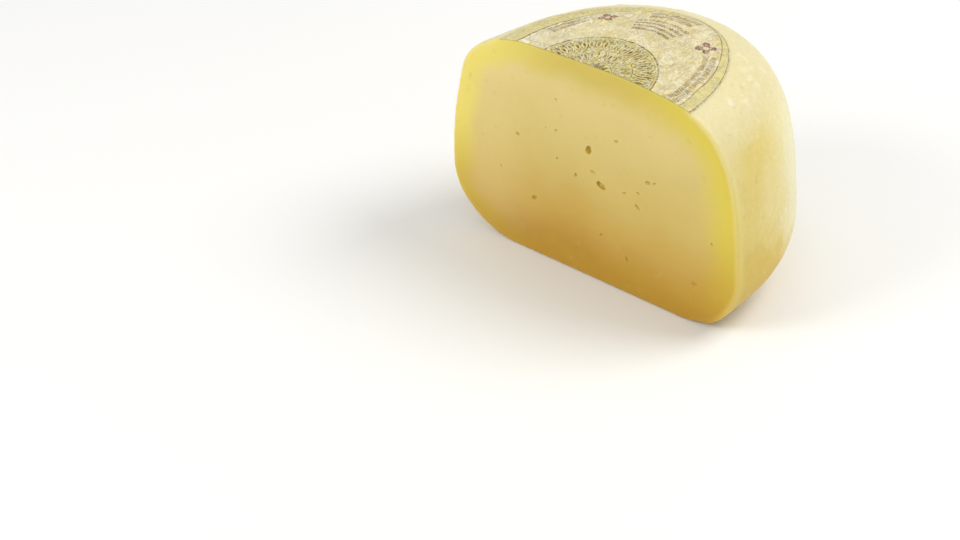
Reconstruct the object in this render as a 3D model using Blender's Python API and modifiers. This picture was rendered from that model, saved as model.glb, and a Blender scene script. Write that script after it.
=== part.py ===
"""Half a wheel of pecorino: a turned wheel of semi-hard cheese, pressed a little out of round, cut once
top to bottom just in front of its axis. The half stands on its flat base, rind to the back.

Metres, +Z up. +X runs along the cut, -Y is the side of the cut face. The origin is the middle of the
bounding box on the ground."""

import math

import bmesh
import bpy
from mathutils import Matrix, Vector

# The wheel before the knife
RADIUS = 0.077  # mean radius at its widest
HEIGHT = 0.098  # at the shoulder of the top
BELLY_HEIGHT = 0.027  # where the side is widest
BASE_RADIUS = 0.045  # flat disc that it stands on
BASE_ROUNDNESS = 1.92  # superellipse exponent, 2 is a circle's arc
TOP_RADIUS = 0.0235  # where the long shoulder reaches its highest ring
TOP_ROUNDNESS = 3.05
CROWN_RISE = 0.0012  # the top is a very flat dome

# How it sagged in its mould
OVALNESS = 0.091  # share of the radius gained along the long axis and lost across it
LONG_AXIS = math.radians(73.7)  # direction of the long axis, from +X
LEAN = Vector((-0.0033, -0.0025))  # how far the top has shifted over the base
TOP_TILT = Vector((0.035, 0.0375))  # share of the height gained over one radius along X and Y
RIPPLES = (  # (waves round the wheel, turn over the full height, phase, share of the radius)
    (2, 0.6, 1.1, 0.0030),
    (3, -1.3, 0.4, 0.0035),
    (5, 2.1, 2.6, 0.0022),
)
SWELLS = (  # (place, reach, shift there), in metres: where it stands out from that form or falls short of it
    ((-0.054, 0.011, 0.091), 0.013, (0.0003, 0.0, -0.0006)),
    ((-0.032, 0.044, 0.092), 0.030, (-0.0018, 0.0022, -0.0020)),
    ((-0.070, 0.000, 0.064), 0.014, (0.0006, 0.0, 0.0)),
    ((-0.072, -0.002, 0.026), 0.022, (-0.0012, 0.0, 0.0)),
    ((-0.066, -0.002, 0.079), 0.013, (-0.0010, 0.0, 0.0009)),
    ((0.033, -0.004, 0.096), 0.018, (-0.0003, 0.0, -0.0019)),
    ((0.056, 0.054, 0.056), 0.026, (-0.0007, -0.0006, 0.0)),
    ((0.058, -0.004, 0.004), 0.009, (0.0008, 0.0, -0.0011)),
)
SWELL_FOOT = 0.004  # below this height the swells fade out, so that the base stays flat

# The cut, one plane in front of the wheel's axis
CUT_OFFSET = 0.0043

# Eyes that the knife opened: (along the cut, height, half length, half width, turn, depth)
EYES = (
    (-0.0042, 0.0602, 0.0024, 0.0019, 70, 0.0026),
    (0.0023, 0.0461, 0.0032, 0.0017, -28, 0.0024),
    (0.0252, 0.0567, 0.0015, 0.0010, 10, 0.0013),
    (-0.0017, 0.0508, 0.0016, 0.0009, -35, 0.0012),
    (-0.0102, 0.0459, 0.0012, 0.0009, 80, 0.0012),
    (0.0094, 0.0696, 0.0013, 0.0009, 20, 0.0011),
    (0.0204, 0.0434, 0.0021, 0.0009, -42, 0.0012),
    (0.0490, 0.0191, 0.0019, 0.0012, 15, 0.0018),
    (-0.0396, 0.0536, 0.0012, 0.0008, -15, 0.0010),
    (-0.0310, 0.0265, 0.0018, 0.0011, 35, 0.0016),
    (0.0160, 0.0165, 0.0013, 0.0009, -60, 0.0012),
)

ROUND_STEPS = 120  # segments round the wheel
CORNER_STEPS = 15  # points on each rounded corner of the profile
EYE_SEGMENTS = 14
EYE_SETBACK = 0.2  # how far in front of the cut an eye's middle lies, as a share of its depth


def clear_scene():
    for thing in list(bpy.data.objects):
        bpy.data.objects.remove(thing, do_unlink=True)


def new_collection(name, hidden=False):
    made = bpy.data.collections.new(name)
    made.hide_render = hidden
    bpy.context.scene.collection.children.link(made)
    return made


def cheese_material():
    made = bpy.data.materials.new("pecorino_cheese")
    made.use_nodes = True
    shader = made.node_tree.nodes["Principled BSDF"]
    shader.inputs["Base Color"].default_value = (0.76, 0.62, 0.28, 1.0)
    shader.inputs["Roughness"].default_value = 0.48
    shader.inputs["Metallic"].default_value = 0.0
    return made


def corner(start, end, roundness, steps):
    """Points of a quarter superellipse from start to end. It leaves start sideways and reaches end upright."""
    points = []
    for step in range(steps + 1):
        turn = 0.5 * math.pi * step / steps
        across = math.sin(turn) ** (2.0 / roundness)
        down = 1.0 - math.cos(turn) ** (2.0 / roundness)
        points.append((start[0] + (end[0] - start[0]) * across, start[1] + (end[1] - start[1]) * down))
    return points


def wheel_profile():
    """(radius, height) pairs from the middle of the top, down the side, to the middle of the base."""
    middle = [(TOP_RADIUS * share, HEIGHT) for share in (0.0, 0.35, 0.7)]
    shoulder = corner((TOP_RADIUS, HEIGHT), (RADIUS, BELLY_HEIGHT), TOP_ROUNDNESS, CORNER_STEPS)
    foot = corner((BASE_RADIUS, 0.0), (RADIUS, BELLY_HEIGHT), BASE_ROUNDNESS, CORNER_STEPS)
    outline = middle + shoulder + foot[-2::-1] + [(0.0, 0.0)]
    return [(radius, height + crown(radius) * height / HEIGHT) for radius, height in outline]


def crown(radius):
    """How far the flat dome stands over the shoulder's height."""
    return CROWN_RISE * (1.0 - (radius / RADIUS) ** 2)


def turned_wheel(material):
    """The round wheel: its profile at +X, turned about Z by a Screw modifier, then made one welded mesh."""
    points = [Vector((radius, 0.0, height)) for radius, height in wheel_profile()]
    outline = bpy.data.meshes.new("wheel_profile")
    outline.from_pydata(points, [(i, i + 1) for i in range(len(points) - 1)], [])
    turned = bpy.data.objects.new("wheel_profile", outline)
    bpy.context.scene.collection.objects.link(turned)
    screw = turned.modifiers.new("turn", "SCREW")
    screw.angle = 2.0 * math.pi
    screw.steps = screw.render_steps = ROUND_STEPS
    screw.use_merge_vertices = True
    screw.merge_threshold = 0.00001
    graph = bpy.context.evaluated_depsgraph_get()
    mesh = bpy.data.meshes.new_from_object(turned.evaluated_get(graph))
    bpy.data.objects.remove(turned, do_unlink=True)
    weld = bmesh.new()
    weld.from_mesh(mesh)
    bmesh.ops.remove_doubles(weld, verts=weld.verts, dist=0.00001)
    bmesh.ops.recalc_face_normals(weld, faces=weld.faces)
    weld.to_mesh(mesh)
    weld.free()
    mesh.materials.clear()
    mesh.materials.append(material)
    return mesh


def settled(point):
    """Where a point of the perfectly round wheel lies on the real one."""
    angle = math.atan2(point.y, point.x)
    up = point.z / HEIGHT
    ripple = sum(
        share * math.sin(waves * angle + twist * up + phase) for waves, twist, phase, share in RIPPLES
    )
    widening = 1.0 + ripple * min(1.0, math.hypot(point.x, point.y) / RADIUS)
    flat = Matrix.Rotation(-LONG_AXIS, 2) @ Vector((point.x, point.y)) * widening
    flat = Vector((flat.x * (1.0 + OVALNESS), flat.y * (1.0 - OVALNESS)))
    flat = Matrix.Rotation(LONG_AXIS, 2) @ flat + LEAN * up
    rise = 1.0 + (TOP_TILT.x * point.x + TOP_TILT.y * point.y) / RADIUS
    place = Vector((flat.x, flat.y, point.z * rise))
    off_ground = min(1.0, place.z / SWELL_FOOT)
    swell = Vector((0.0, 0.0, 0.0))
    for centre, reach, shift in SWELLS:
        away = (place - Vector(centre)).length / reach
        swell += Vector(shift) * math.exp(-away * away) * off_ground
    return place + swell


def knife(collection):
    """A box over everything in front of the cut."""
    room = 3.0 * RADIUS
    bpy.ops.mesh.primitive_cube_add(size=1.0)
    box = bpy.context.object
    box.name = "knife"
    box.scale = (2.0 * room, room, 2.0 * room)
    box.location = (0.0, -CUT_OFFSET - 0.5 * room, 0.5 * HEIGHT)
    move_to(box, collection)
    return box


def eye_cutter(index, eye, collection):
    """A flattened ball that opens one eye in the cut face."""
    along, height, half_length, half_width, turn, depth = eye
    bpy.ops.mesh.primitive_uv_sphere_add(segments=EYE_SEGMENTS, ring_count=EYE_SEGMENTS // 2, radius=1.0)
    ball = bpy.context.object
    ball.name = f"eye_{index}"
    ball.scale = (half_length, depth, half_width)
    ball.rotation_euler = (0.0, math.radians(-turn), 0.0)
    ball.location = (along, -CUT_OFFSET - EYE_SETBACK * depth, height)
    move_to(ball, collection)


def move_to(thing, collection):
    for old in list(thing.users_collection):
        old.objects.unlink(thing)
    collection.objects.link(thing)
    thing.hide_render = True
    thing.display_type = "WIRE"


def cut_away(target, cutters, name):
    """A live Boolean difference with every object of a collection."""
    boolean = target.modifiers.new(name, "BOOLEAN")
    boolean.operation = "DIFFERENCE"
    boolean.solver = "EXACT"
    boolean.operand_type = "COLLECTION"
    boolean.collection = cutters


def stand_on_origin(thing, frame):
    """Moves the frame so that the finished half is centred over the origin, with its base on the ground."""
    bpy.context.view_layer.update()
    graph = bpy.context.evaluated_depsgraph_get()
    evaluated = thing.evaluated_get(graph)
    places = [evaluated.matrix_world @ vertex.co for vertex in evaluated.to_mesh().vertices]
    low = Vector([min(place[axis] for place in places) for axis in range(3)])
    high = Vector([max(place[axis] for place in places) for axis in range(3)])
    evaluated.to_mesh_clear()
    frame.location = (-0.5 * (low.x + high.x), -0.5 * (low.y + high.y), -low.z)


def build():
    clear_scene()
    cheese = new_collection("pecorino")
    cutters = new_collection("cutters", hidden=True)

    mesh = turned_wheel(cheese_material())
    for vertex in mesh.vertices:
        vertex.co = settled(vertex.co)
    half = bpy.data.objects.new("pecorino_half", mesh)
    cheese.objects.link(half)

    knife(cutters)
    for index, eye in enumerate(EYES, start=1):
        eye_cutter(index, eye, cutters)
    cut_away(half, cutters, "knife and eyes")
    mesh.shade_smooth()
    mesh.set_sharp_from_angle(angle=math.radians(40))

    frame = bpy.data.objects.new("wheel_axis", None)
    cheese.objects.link(frame)
    for thing in [half, *cutters.objects]:
        thing.parent = frame
    stand_on_origin(half, frame)


build()
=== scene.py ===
"""The looks of half a wheel of pecorino: its rind, the paste on its cut face with its eyes, and the thin
printed film on its top.

Metres, +Z up, +X along the cut, -Y out of it. Both pieces are shaped round the wheel's axis, and main()
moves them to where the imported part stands."""

import math

import bmesh
import bpy
import numpy as np
from mathutils import Matrix, Vector, noise

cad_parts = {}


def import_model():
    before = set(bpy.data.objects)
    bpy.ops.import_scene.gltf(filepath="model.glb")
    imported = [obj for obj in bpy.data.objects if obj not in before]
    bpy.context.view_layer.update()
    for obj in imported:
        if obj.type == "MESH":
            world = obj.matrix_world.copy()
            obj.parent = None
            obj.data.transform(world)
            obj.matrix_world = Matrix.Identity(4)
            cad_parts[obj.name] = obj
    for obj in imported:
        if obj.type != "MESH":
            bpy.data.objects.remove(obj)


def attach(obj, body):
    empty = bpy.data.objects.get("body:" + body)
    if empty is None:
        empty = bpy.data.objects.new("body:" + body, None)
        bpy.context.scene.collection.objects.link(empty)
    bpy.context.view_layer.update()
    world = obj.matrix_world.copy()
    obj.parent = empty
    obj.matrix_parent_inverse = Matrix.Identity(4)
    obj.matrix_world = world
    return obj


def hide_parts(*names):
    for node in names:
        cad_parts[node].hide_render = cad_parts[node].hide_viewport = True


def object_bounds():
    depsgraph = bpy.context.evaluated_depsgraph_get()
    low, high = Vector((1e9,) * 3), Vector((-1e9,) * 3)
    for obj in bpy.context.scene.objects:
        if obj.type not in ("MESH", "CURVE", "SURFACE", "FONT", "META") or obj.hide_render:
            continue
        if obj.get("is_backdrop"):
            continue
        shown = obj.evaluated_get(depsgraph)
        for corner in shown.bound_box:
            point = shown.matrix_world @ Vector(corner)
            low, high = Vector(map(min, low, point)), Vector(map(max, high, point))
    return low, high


MM = 0.001

# ---------------- the wheel, as the solid has it

RADIUS = 0.077  # mean radius at its widest
HEIGHT = 0.098  # at the shoulder of the top
BELLY_HEIGHT = 0.027  # where the side is widest
BASE_RADIUS = 0.045  # flat disc that it stands on
BASE_ROUNDNESS = 1.92  # superellipse exponent, 2 is a circle's arc
TOP_RADIUS = 0.0235  # where the long shoulder reaches its highest ring
TOP_ROUNDNESS = 3.05
CROWN_RISE = 0.0012  # the top is a very flat dome
OVALNESS = 0.091  # share of the radius gained along the long axis and lost across it
LONG_AXIS = math.radians(73.7)  # direction of the long axis, from +X
LEAN = (-0.0033, -0.0025)  # how far the top has shifted over the base
TOP_TILT = (0.035, 0.0375)  # share of the height gained over one radius along X and Y
RIPPLES = (  # (waves round the wheel, turn over the full height, phase, share of the radius)
    (2, 0.6, 1.1, 0.0030),
    (3, -1.3, 0.4, 0.0035),
    (5, 2.1, 2.6, 0.0022),
)
SWELLS = (  # (place, reach, shift there): where it stands out from that form or falls short of it
    ((-0.054, 0.011, 0.091), 0.013, (0.0003, 0.0, -0.0006)),
    ((-0.032, 0.044, 0.092), 0.030, (-0.0018, 0.0022, -0.0020)),
    ((-0.070, 0.000, 0.064), 0.014, (0.0006, 0.0, 0.0)),
    ((-0.072, -0.002, 0.026), 0.022, (-0.0012, 0.0, 0.0)),
    ((-0.066, -0.002, 0.079), 0.013, (-0.0010, 0.0, 0.0009)),
    ((0.033, -0.004, 0.096), 0.018, (-0.0003, 0.0, -0.0019)),
    ((0.056, 0.054, 0.056), 0.026, (-0.0007, -0.0006, 0.0)),
    ((0.058, -0.004, 0.004), 0.009, (0.0008, 0.0, -0.0011)),
)
SWELL_FOOT = 0.004  # below this height the swells fade out, so that the base stays flat
CUT_OFFSET = 0.0043  # how far in front of the wheel's axis the cut goes

EYE_SETBACK = 0.2  # how far in front of the cut an eye's middle lies, as a share of its depth
# Eyes in the cut face: (along the cut, height, half length, half width, turn in degrees, depth)
EYES = (
    (-0.0042, 0.0602, 0.0021, 0.0015, 75, 0.0020),
    (0.0023, 0.0461, 0.0027, 0.0014, -12, 0.0021),
    (0.0252, 0.0567, 0.0014, 0.0010, 10, 0.0010),
    (-0.0017, 0.0508, 0.0014, 0.0008, -20, 0.0009),
    (-0.0102, 0.0459, 0.0011, 0.0008, 80, 0.0009),
    (0.0094, 0.0696, 0.0012, 0.0008, 20, 0.0008),
    (0.0204, 0.0434, 0.0019, 0.0008, -35, 0.0009),
    (0.0490, 0.0191, 0.0015, 0.0009, 15, 0.0009),
    (-0.0396, 0.0536, 0.0011, 0.0008, -15, 0.0008),
    (-0.0310, 0.0265, 0.0015, 0.0010, 35, 0.0012),
    (0.0160, 0.0165, 0.0012, 0.0008, -60, 0.0009),
)
# Smaller ones, mere pricks
PRICKS = (
    (-0.0204, 0.0629, 0.0009, 0.0006, 15, 0.0007),
    (-0.0205, 0.0773, 0.0008, 0.0006, -40, 0.0006),
    (-0.0197, 0.0500, 0.0009, 0.0005, 60, 0.0007),
    (0.0138, 0.0473, 0.0010, 0.0005, 25, 0.0008),
    (0.0207, 0.0500, 0.0011, 0.0006, -15, 0.0008),
    (0.0283, 0.0578, 0.0010, 0.0004, 35, 0.0006),
    (0.0565, 0.0412, 0.0007, 0.0005, 0, 0.0006),
    (-0.0255, 0.0622, 0.0006, 0.0004, 10, 0.0005),
    (-0.0480, 0.0350, 0.0008, 0.0005, -30, 0.0006),
    (0.0030, 0.0230, 0.0009, 0.0005, 50, 0.0007),
)

# ---------------- mesh density and fine relief

ROUND_STEPS = 310  # quads round the half wheel, from one end of the cut to the other
PROFILE_STEPS = 252  # quads down its outside, from the middle of the top to the middle of the base
UNDER_LABEL_DENSITY = 0.42  # how closely those stand under the label and on the base, beside the rest
BASE_DENSITY = 0.25
EDGE_LOOPS = 4  # loops that round the edge of the cut face
FACE_LOOPS = 20  # steps from there to the innermost loop
INNERMOST_LOOP = 0.02  # its size, as a share of the face's outline
FAN_RADIUS = 0.020  # inside this radius the top's rings shrink evenly to the middle of the cut edge
EDGE_ROUNDING = 1.1 * MM
LABEL_ROUND_STEPS = 330  # quads of the film, round the middle of its cut edge and out from there
LABEL_OUT_STEPS = 104

PIT_COUNT = 280
PIT_RADII = (0.5, 1.25)  # smallest and largest, in millimetres
PIT_DEPTHS = (0.12, 0.32)  # as shares of the radius
SEED = 7
WORN_SPOT = (0.0640, 0.0410, 0.0385)  # where the rind flakes most

# ---------------- the label's place and stretch

LABEL_CENTRE = (0.0007, 0.0086)  # from the wheel's axis
LABEL_RADIUS = 0.0441
LABEL_THICKNESS = 0.12 * MM
LABEL_LIFT = 0.10 * MM  # its mean height over the rind
SEAL_CENTRE = (-0.0010, -0.0075)  # of the round field in its middle
PRINT_RING = 0.0404  # radii of the two rings of its print, before the film was drawn over the wheel
PRINT_EDGE = 0.0435
# Where those rings lie on the wheel: (degrees round the label's centre from the cut's right end,
# radius of the inner and of the outer ring in millimetres)
LABEL_STRETCH = (
    (-17, 39.5, 44.6),
    (-8, 38.4, 43.4),
    (2, 38.0, 42.5),
    (11, 38.0, 42.1),
    (21, 38.2, 42.0),
    (31, 38.8, 42.1),
    (42, 40.1, 42.6),
    (53, 41.5, 43.2),
    (62, 42.1, 43.4),
    (70, 42.3, 43.3),
    (77, 42.4, 43.5),
    (84, 42.0, 43.3),
    (91, 41.0, 42.8),
    (100, 38.9, 41.9),
    (109, 37.5, 42.0),
    (120, 36.9, 43.0),
    (131, 37.0, 43.6),
    (142, 36.8, 44.0),
    (150, 36.2, 45.2),
    (158, 35.9, 46.4),
    (166, 36.6, 47.4),
    (173, 37.8, 48.0),
    (180, 38.9, 48.6),
    (188, 40.4, 50.0),
    (197, 43.4, 52.6),
)
STRETCH_DEGREE = 11  # of the polynomials that smooth them


def wheel_outline(fine=400, flat=60):
    """(radius, height) along the round wheel's outside, from the middle of the top to that of the base."""
    turn = np.linspace(0.0, 0.5 * math.pi, fine)
    middle = np.linspace(0.0, TOP_RADIUS, flat)[:-1]
    shoulder_r = TOP_RADIUS + (RADIUS - TOP_RADIUS) * np.sin(turn) ** (2.0 / TOP_ROUNDNESS)
    shoulder_z = HEIGHT - (HEIGHT - BELLY_HEIGHT) * (1.0 - np.cos(turn) ** (2.0 / TOP_ROUNDNESS))
    foot_r = BASE_RADIUS + (RADIUS - BASE_RADIUS) * np.sin(turn) ** (2.0 / BASE_ROUNDNESS)
    foot_z = BELLY_HEIGHT * (1.0 - np.cos(turn) ** (2.0 / BASE_ROUNDNESS))
    base = np.linspace(BASE_RADIUS, 0.0, flat)[1:]
    radius = np.concatenate([middle, shoulder_r, foot_r[-2::-1], base])
    height = np.concatenate([np.full(len(middle), HEIGHT), shoulder_z, foot_z[-2::-1], np.zeros(len(base))])
    height = height + CROWN_RISE * (1.0 - (radius / RADIUS) ** 2) * height / HEIGHT
    return radius, height


def spaced(radius, height, steps):
    """The outline again, as steps + 1 points, evenly spaced but sparser under the label and on the base."""
    under_label = (height > 0.9 * HEIGHT) & (radius < LABEL_RADIUS - 4.0 * MM)
    on_base = (height < 0.5 * MM) & (radius < BASE_RADIUS)
    density = np.where(under_label, UNDER_LABEL_DENSITY, 1.0)
    density = np.where(on_base, BASE_DENSITY, density)
    length = np.hypot(np.diff(radius), np.diff(height)) * 0.5 * (density[1:] + density[:-1])
    run = np.concatenate([[0.0], np.cumsum(length)])
    at = np.linspace(0.0, run[-1], steps + 1)
    return np.interp(at, run, radius), np.interp(at, run, height)


def settled(points):
    """Where points of the perfectly round wheel lie on the real one: oval, leaning, its top tilted."""
    x, y, z = np.moveaxis(points, -1, 0)
    angle = np.arctan2(y, x)
    up = z / HEIGHT
    ripple = sum(share * np.sin(waves * angle + twist * up + phase) for waves, twist, phase, share in RIPPLES)
    widening = 1.0 + ripple * np.minimum(1.0, np.hypot(x, y) / RADIUS)
    cos = math.cos(LONG_AXIS)
    sin = math.sin(LONG_AXIS)
    along = (cos * x + sin * y) * widening * (1.0 + OVALNESS)
    across = (cos * y - sin * x) * widening * (1.0 - OVALNESS)
    place = np.stack(
        [
            cos * along - sin * across + LEAN[0] * up,
            sin * along + cos * across + LEAN[1] * up,
            z * (1.0 + (TOP_TILT[0] * x + TOP_TILT[1] * y) / RADIUS),
        ],
        axis=-1,
    )
    off_ground = np.minimum(1.0, place[..., 2] / SWELL_FOOT)
    swell = np.zeros(place.shape)
    for centre, reach, shift in SWELLS:
        away = ((place - np.array(centre)) ** 2).sum(axis=-1) / reach**2
        swell += (np.exp(-away) * off_ground)[..., None] * np.array(shift)
    return place + swell


def unsettled(x, y, height_at):
    """Points of the round wheel that settle at plan position x, y. height_at gives their height there."""
    guess = np.stack([x, y, height_at(np.hypot(x, y))], axis=-1)
    for _ in range(12):
        off = settled(guess)
        guess[..., 0] += x - off[..., 0]
        guess[..., 1] += y - off[..., 1]
        guess[..., 2] = height_at(np.hypot(guess[..., 0], guess[..., 1]))
    return guess


def top_height(radius):
    """Height of the round wheel's top at a radius."""
    outline_r, outline_z = wheel_outline()
    top = slice(0, int(np.argmax(outline_r)))
    return np.interp(radius, outline_r[top], outline_z[top])


# ---------------- noise


def lumps(points, size, seed=0):
    """Smooth noise between about -1 and 1, one value a point, with lumps size metres across."""
    flat = points.reshape(-1, 3) / size
    shift = 31.7 * (seed + SEED)
    values = [noise.noise(Vector((x + shift, y - shift, z + 0.5 * shift))) for x, y, z in flat.tolist()]
    return np.array(values).reshape(points.shape[:-1])


def smoothstep(low, high, value):
    """0 at low, 1 at high, eased between them."""
    share = np.clip((value - low) / (high - low), 0.0, 1.0)
    return share * share * (3.0 - 2.0 * share)


def stretched_rings(angle):
    """Radii of the label's two printed rings at an angle round its centre, smoothed through LABEL_STRETCH."""
    degrees, inner, outer = np.array(LABEL_STRETCH).T
    share = np.degrees(angle) / 180.0
    curves = [np.polyfit(degrees / 180.0, radii, STRETCH_DEGREE) for radii in (inner, outer)]
    return [MM * np.polyval(curve, share) for curve in curves]


def round_label(points):
    """Distance of plan positions from the label's centre, and angle round it, from -90 to 270 degrees."""
    across = points[..., 0] - LABEL_CENTRE[0]
    along = points[..., 1] - LABEL_CENTRE[1]
    angle = np.arctan2(along, across)
    return np.hypot(across, along), np.where(angle < -0.5 * math.pi, angle + 2.0 * math.pi, angle)


def label_distance(points):
    """How far plan positions lie outside the label's edge. Inside it the distance is negative."""
    away, angle = round_label(points)
    angle = np.clip(angle, math.radians(LABEL_STRETCH[0][0]), math.radians(LABEL_STRETCH[-1][0]))
    return away - stretched_rings(angle)[1] - (LABEL_RADIUS - PRINT_EDGE)


def broad_relief(points):
    """Dents and swells that both the rind and the label over it follow."""
    return 0.38 * MM * lumps(points, 0.034, 1) + 0.16 * MM * lumps(points, 0.013, 2)


def rind_relief(points):
    """Displacement of the rind along its normal."""
    fine = 0.080 * MM * lumps(points, 0.0052, 3) + 0.055 * MM * lumps(points, 0.0024, 4)
    bare = smoothstep(-0.001, 0.003, label_distance(points)) + smoothstep(0.75, 0.6, points[..., 2] / HEIGHT)
    return broad_relief(points) + fine * np.minimum(1.0, bare) + 0.34 * MM * crumb(points)


def crumb(points):
    """How crumbled the dried rind is, from 0: in patches low on the side, at one worn spot and as flecks
    round the label."""
    height = points[..., 2] / HEIGHT
    low = smoothstep(0.16, 0.28, height) * smoothstep(0.56, 0.40, height)
    patch = 0.7 * smoothstep(0.20, 0.50, lumps(points, 0.021, 5)) * low
    worn = np.hypot(points[..., 0] - WORN_SPOT[0], points[..., 1] - WORN_SPOT[1])
    worn = smoothstep(0.012, 0.003, np.hypot(worn, points[..., 2] - WORN_SPOT[2]))
    away = label_distance(points)
    collar = smoothstep(0.001, 0.004, away) * smoothstep(0.024, 0.010, away) * smoothstep(0.80, 0.86, height)
    collar = 1.1 * collar * smoothstep(-0.10, 0.30, lumps(points, 0.009, 7))
    grain = np.maximum(0.0, lumps(points, 0.0030, 6)) + 0.6 * np.maximum(0.0, lumps(points, 0.0016, 8))
    return np.maximum(np.maximum(patch, worn), collar) * grain


def scattered_pits(points, free):
    """Centres, radii and depths of small round pits, drawn with a seed from the points where free is true."""
    rng = np.random.default_rng(SEED)
    centres = points[free][rng.choice(int(free.sum()), PIT_COUNT, replace=False)]
    radii = rng.uniform(*PIT_RADII, PIT_COUNT) * MM
    return centres, radii, radii * rng.uniform(*PIT_DEPTHS, PIT_COUNT)


def pitted(points, pits):
    """How deep the pits are at each point."""
    flat = points.reshape(-1, 3)
    depth = np.zeros(len(flat))
    for centre, radius, deepest in zip(*pits):
        near = np.flatnonzero(np.abs(flat - centre).max(axis=1) < 3.0 * radius)
        away = ((flat[near] - centre) ** 2).sum(axis=1) / radius**2
        depth[near] += deepest * np.exp(-away)
    return depth.reshape(points.shape[:-1])


# ---------------- the rind's grid


def rings_from(centre_top, centre_base, radius, height):
    """Returns a function of one direction for each ring: the places where rays that way, from the middle
    of the cut edge, meet the rings."""
    share = (height / height.max())[:, None]
    centre = centre_base + (centre_top - centre_base) * share

    def reach(direction, wanted):
        ray = np.stack([np.cos(direction), np.sin(direction)], axis=-1)
        forward = (centre * ray).sum(axis=-1)
        return -forward + np.sqrt(forward**2 - (centre**2).sum(axis=-1) + wanted**2), ray

    def at(direction):
        out, ray = reach(direction, np.maximum(radius, FAN_RADIUS))
        out = out * np.minimum(1.0, radius / FAN_RADIUS)
        plan = centre + ray * out[:, None]
        away = np.hypot(plan[:, 0], plan[:, 1])
        on_top = (radius < FAN_RADIUS) & (height > BELLY_HEIGHT)
        z = np.where(on_top, top_height(away), height)
        return np.column_stack([plan, z])

    return at


def ring_ends(at, count, plane, middle):
    """For each ring, the direction near middle at which it crosses the plane y = plane."""
    low = np.full(count, middle - 0.6)
    high = np.full(count, middle + 0.6)
    rising = -1.0 if middle > 1.0 else 1.0
    for _ in range(40):
        half = 0.5 * (low + high)
        behind = rising * (settled(at(half))[:, 1] - plane) > 0.0
        low = np.where(behind, low, half)
        high = np.where(behind, half, high)
    return 0.5 * (low + high)


def rind_grid():
    """Points of the outside, [round, down], from the right end of the cut round the back to the left end."""
    radius, height = spaced(*wheel_outline(), PROFILE_STEPS)
    plane = -CUT_OFFSET + EDGE_ROUNDING
    foot = np.array([0.0])
    centre_top = unsettled(foot, foot + plane, top_height)[0, :2]
    centre_base = unsettled(foot, foot + plane, lambda away: 0.0 * away)[0, :2]
    at = rings_from(centre_top, centre_base, radius, height)
    right = ring_ends(at, len(radius), plane, 0.0)
    left = ring_ends(at, len(radius), plane, math.pi)
    shares = np.linspace(0.0, 1.0, ROUND_STEPS + 1)
    return np.stack([settled(at(right + (left - right) * share)) for share in shares])


def normals_of(grid):
    """Outward unit normals of a grid of points [round, down]."""
    normal = np.cross(np.gradient(grid, axis=1), np.gradient(grid, axis=0))
    normal[:, 0] = (0.0, 0.0, 1.0)
    normal[:, -1] = (0.0, 0.0, -1.0)
    return normal / np.maximum(np.linalg.norm(normal, axis=-1, keepdims=True), 1e-12)


def rough_rind(grid, pits):
    """The rind's grid with its relief. Its ends stay in their plane, and its base stays flat."""
    on_base = smoothstep(0.004, 0.0, grid[..., 2])
    outwards = (rind_relief(grid) - pitted(grid, pits)) * (1.0 - on_base)
    moved = grid + normals_of(grid) * outwards[..., None]
    moved[0, :, 1] = moved[-1, :, 1] = -CUT_OFFSET + EDGE_ROUNDING
    moved[:, 0] = moved[:, 0].mean(axis=0)
    moved[:, -1] = moved[:, -1].mean(axis=0)
    moved[..., 2] = np.maximum(moved[..., 2], 0.0)
    return moved


# ---------------- the cheese's mesh


def cut_outline(grid):
    """The edge of the cut face, from the middle of the top down the right side and up the left side."""
    return np.concatenate([grid[0, :-1], grid[-1, :0:-1]])


def face_loops(outline):
    """Loops of the cut face: a rounded edge, then rings down to its middle, with a knife's faint waves."""
    middle = np.array([0.5 * (outline[:, 0].min() + outline[:, 0].max()), 0.0, 0.5 * outline[:, 2].max()])
    reach = np.hypot(outline[:, 0] - middle[0], outline[:, 2] - middle[2])[:, None]
    loops = []
    for step in range(1, EDGE_LOOPS + FACE_LOOPS):
        turn = 0.5 * math.pi * min(1.0, step / EDGE_LOOPS)
        inset = EDGE_ROUNDING * (1.0 - math.cos(turn)) / reach
        shrunk = (1.0 - INNERMOST_LOOP) * max(0, step - EDGE_LOOPS) / (FACE_LOOPS - 1)
        keep = (1.0 - inset) * (1.0 - shrunk)
        loop = middle + (outline - middle) * keep
        loop[:, 1] = -CUT_OFFSET + EDGE_ROUNDING * (1.0 - math.sin(turn))
        inside = reach[:, 0] * (1.0 - keep[:, 0])
        broad = 0.10 * MM * lumps(loop * (1.0, 0.0, 0.45), 0.016, 11)
        waves = broad + 0.03 * MM * lumps(loop, 0.005, 12)
        loop[:, 1] += waves * smoothstep(0.001, 0.008, inside)
        loops.append(loop)
    return loops


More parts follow.
